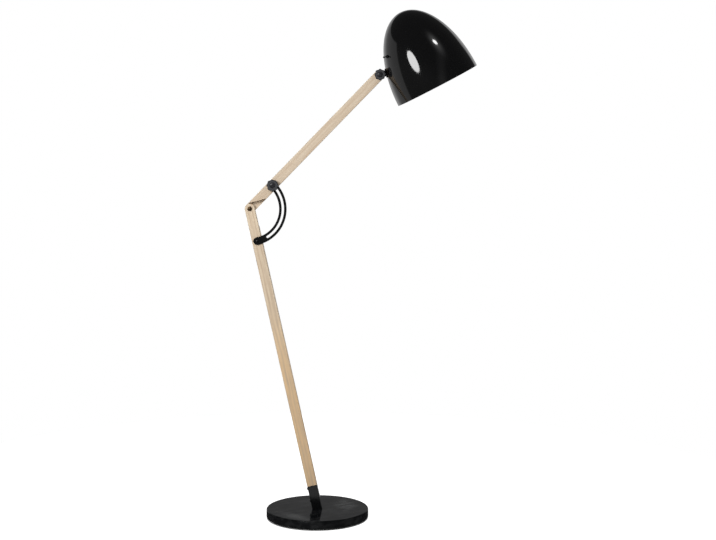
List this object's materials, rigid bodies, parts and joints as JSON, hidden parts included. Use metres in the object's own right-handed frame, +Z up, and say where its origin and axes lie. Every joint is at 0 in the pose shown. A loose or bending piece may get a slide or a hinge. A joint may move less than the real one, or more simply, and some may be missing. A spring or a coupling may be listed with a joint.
{
  "type": "floor lamp",
  "caption": "Floor lamp with a round stone foot, a leaning wooden stand, a half-lapped swing arm clamped on a slotted quadrant, and a tilting domed metal shade.",
  "frame": {"origin": "centre of the underside of the pad below the stone base, on the floor", "axes": "+Z up, +X the way the arm and the shade reach out, -Y the side of the two knobs"},
  "size_m": [0.6654, 0.3, 1.4785],
  "materials": {
    "base_stone": "polished",
    "pad_felt": "felt",
    "black_steel": "satin",
    "arm_wood": "clear matt varnish",
    "bronze_steel": "dark bronze plating",
    "zinc_steel": "zinc plated",
    "knob_plastic": "fine matt grain",
    "holder_plastic": "satin",
    "brass": "turned",
    "fibre": "pressed fibre",
    "shade_gloss": "high gloss",
    "ceramic": "unglazed",
    "bulb_glass": "opal",
    "rubber": "matt"
  },
  "bodies": {
    "stand": {"base_pad": "pad_felt", "base_stone": "base_stone", "foot_washer": "zinc_steel", "foot_nut": "zinc_steel", "foot_stud": "zinc_steel", "foot_block": "black_steel", "foot_socket": "black_steel", "lower_arm": "arm_wood", "foot_screw_low": "black_steel", "foot_screw_high": "black_steel", "quadrant": "black_steel", "quadrant_screw": "black_steel", "elbow_bolt": "bronze_steel", "elbow_spacer": "fibre", "elbow_washer": "zinc_steel", "elbow_cap_nut": "bronze_steel"},
    "upper arm": {"upper_arm": "arm_wood", "clamp_bolt": "zinc_steel", "clamp_far_washer": "zinc_steel", "clamp_near_washer": "zinc_steel", "tilt_bolt": "zinc_steel", "tilt_far_washer": "zinc_steel", "tilt_near_washer": "zinc_steel", "friction_washer_near": "fibre", "friction_washer_far": "fibre"},
    "head": {"head_bracket": "black_steel", "shade": "shade_gloss", "holder_strap": "zinc_steel", "holder_nipple": "zinc_steel", "holder_lock_nut": "zinc_steel", "holder_cap": "holder_plastic", "holder_ceramic": "ceramic", "holder_screw_shell": "brass", "holder_skirt": "holder_plastic", "holder_ring": "holder_plastic", "bulb_cap": "zinc_steel", "bulb_glass": "bulb_glass", "bracket_screw_near": "black_steel", "bracket_nut_near": "zinc_steel", "bracket_screw_far": "black_steel", "bracket_nut_far": "zinc_steel", "switch_body": "holder_plastic", "switch_nut": "zinc_steel", "lead_grommet": "rubber"},
    "clamp knob": {"clamp_knob": "knob_plastic", "clamp_knob_insert": "brass"},
    "tilt knob": {"tilt_knob": "knob_plastic", "tilt_knob_insert": "brass"},
    "switch lever": {"switch_lever": "black_steel"}
  },
  "joints": [
    {"name": "elbow", "type": "hinge", "parent": "stand", "child": "upper arm", "pos_m": [-0.19188, 0, 0.91159], "axis": [0, 1, 0], "range_deg": [0, 93]},
    {"name": "head tilt", "type": "hinge", "parent": "upper arm", "child": "head", "pos_m": [0.18247, 0, 1.2952], "axis": [0, 1, 0], "range_deg": [-90, 40]},
    {"name": "clamp knob turn", "type": "hinge", "parent": "upper arm", "child": "clamp knob", "pos_m": [-0.12518, 0, 0.97994], "axis": [0, -1, 0], "range_deg": [0, 360]},
    {"name": "tilt knob turn", "type": "hinge", "parent": "upper arm", "child": "tilt knob", "pos_m": [0.18247, 0, 1.2952], "axis": [0, -1, 0], "range_deg": [0, 360]},
    {"name": "switch throw", "type": "hinge", "parent": "head", "child": "switch lever", "pos_m": [0.20045, -0.04717, 1.34537], "axis": [-0.4027, 0.891, -0.2096], "range_deg": [0, 18]}
  ]
}
